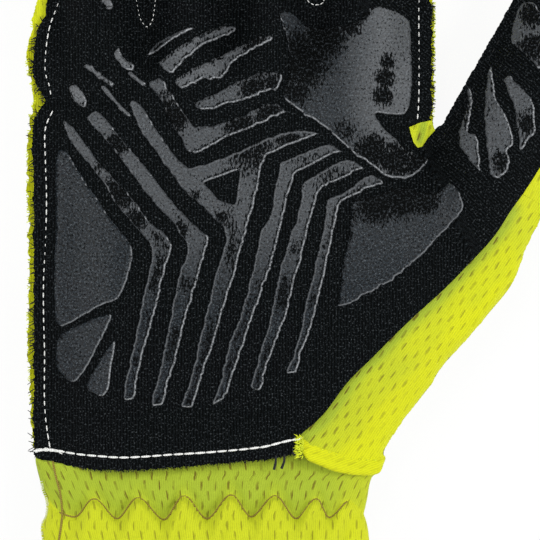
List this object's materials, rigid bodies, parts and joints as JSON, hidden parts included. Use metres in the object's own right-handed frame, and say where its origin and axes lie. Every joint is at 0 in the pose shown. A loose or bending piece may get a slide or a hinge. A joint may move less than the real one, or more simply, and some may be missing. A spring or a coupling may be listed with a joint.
{
  "type": "racing glove",
  "caption": "Full-finger right-hand sports glove: yellow mesh back, black rib-knit palm with silicone grip print, gathered elastic cuff; fingers and thumb fold.",
  "frame": {"origin": "on the flat of the back panel, under the middle of the palm", "axes": "+Y towards the finger tips, +X towards the thumb, +Z out of the palm"},
  "size_m": [0.1573, 0.251, 0.0283],
  "materials": {
    "mesh_yellow": "fluorescent warp-knit mesh, matte",
    "knit_black": "fine rib knit, matte",
    "silicone_grip": "printed silicone, glossy",
    "elastic_band": "woven elastic, matte"
  },
  "bodies": {
    "palm": {"palm_panel": "knit_black", "back_panel": "mesh_yellow", "thumb_side_panel": "mesh_yellow", "crotch_gusset": "mesh_yellow", "cuff_front": "mesh_yellow", "cuff_back": "mesh_yellow", "wrist_elastic": "elastic_band", "heel_grip_patch": "silicone_grip", "heel_grip_lower_patch": "silicone_grip", "heel_grip_small_patch": "silicone_grip", "palm_grip_bar_1": "silicone_grip", "palm_grip_bar_2": "silicone_grip", "palm_grip_bar_3": "silicone_grip", "palm_grip_bar_4": "silicone_grip", "palm_grip_bar_5": "silicone_grip", "palm_grip_bar_6": "silicone_grip", "palm_grip_chevron": "silicone_grip", "knuckle_grip_bar_upper": "silicone_grip", "knuckle_grip_bar_middle": "silicone_grip", "knuckle_grip_bar_lower": "silicone_grip", "knuckle_grip_stub_1": "silicone_grip", "knuckle_grip_stub_2": "silicone_grip", "knuckle_grip_stub_3": "silicone_grip", "index_base_grip": "silicone_grip", "thenar_grip": "silicone_grip"},
    "little_base": {"little_base_front": "knit_black", "little_base_back": "mesh_yellow"},
    "little_tip": {"little_tip_front": "knit_black", "little_tip_back": "mesh_yellow", "little_tip_grip": "silicone_grip"},
    "ring_base": {"ring_base_front": "knit_black", "ring_base_back": "mesh_yellow"},
    "ring_tip": {"ring_tip_front": "knit_black", "ring_tip_back": "mesh_yellow", "ring_tip_grip": "silicone_grip"},
    "middle_base": {"middle_base_front": "knit_black", "middle_base_back": "mesh_yellow"},
    "middle_tip": {"middle_tip_front": "knit_black", "middle_tip_back": "mesh_yellow", "middle_tip_grip": "silicone_grip"},
    "index_base": {"index_base_front": "knit_black", "index_base_back": "mesh_yellow"},
    "index_tip": {"index_tip_front": "knit_black", "index_tip_back": "mesh_yellow", "index_tip_grip": "silicone_grip"},
    "thumb_base": {"thumb_base_front": "knit_black", "thumb_base_back": "mesh_yellow", "thumb_base_outer": "mesh_yellow", "thumb_base_grip_1": "silicone_grip", "thumb_base_grip_2": "silicone_grip", "thumb_base_grip_3": "silicone_grip"},
    "thumb_tip": {"thumb_tip_front": "knit_black", "thumb_tip_back": "mesh_yellow", "thumb_tip_outer": "mesh_yellow", "thumb_tip_grip_4": "silicone_grip"}
  },
  "joints": [
    {"name": "little_base_fold", "type": "hinge", "parent": "palm", "child": "little_base", "pos_m": [-0.03528, 0.08017, 0.02297], "axis": [0.9986, 0.0523, 0], "range_deg": [0, 70]},
    {"name": "little_tip_fold", "type": "hinge", "parent": "little_base", "child": "little_tip", "pos_m": [-0.03633, 0.10014, 0.02297], "axis": [0.9986, 0.0523, 0], "range_deg": [0, 80]},
    {"name": "ring_base_fold", "type": "hinge", "parent": "palm", "child": "ring_base", "pos_m": [-0.01081, 0.08999, 0.02297], "axis": [0.9997, 0.0262, 0], "range_deg": [0, 70]},
    {"name": "ring_tip_fold", "type": "hinge", "parent": "ring_base", "child": "ring_tip", "pos_m": [-0.0115, 0.11598, 0.02297], "axis": [0.9997, 0.0262, 0], "range_deg": [0, 80]},
    {"name": "middle_base_fold", "type": "hinge", "parent": "palm", "child": "middle_base", "pos_m": [0.01145, 0.08999, 0.02297], "axis": [0.9998, -0.0175, 0], "range_deg": [0, 70]},
    {"name": "middle_tip_fold", "type": "hinge", "parent": "middle_base", "child": "middle_tip", "pos_m": [0.01193, 0.11799, 0.02297], "axis": [0.9998, -0.0175, 0], "range_deg": [0, 80]},
    {"name": "index_base_fold", "type": "hinge", "parent": "palm", "child": "index_base", "pos_m": [0.03707, 0.08599, 0.02297], "axis": [0.9994, -0.0349, 0], "range_deg": [0, 70]},
    {"name": "index_tip_fold", "type": "hinge", "parent": "index_base", "child": "index_tip", "pos_m": [0.03794, 0.11098, 0.02297], "axis": [0.9994, -0.0349, 0], "range_deg": [0, 80]},
    {"name": "thumb_base_fold", "type": "hinge", "parent": "palm", "child": "thumb_base", "pos_m": [0.0703, 0.03609, 0.02397], "axis": [0.891, -0.454, 0], "range_deg": [0, 40]},
    {"name": "thumb_tip_fold", "type": "hinge", "parent": "thumb_base", "child": "thumb_tip", "pos_m": [0.08119, 0.05747, 0.02397], "axis": [0.891, -0.454, 0], "range_deg": [0, 70]}
  ]
}
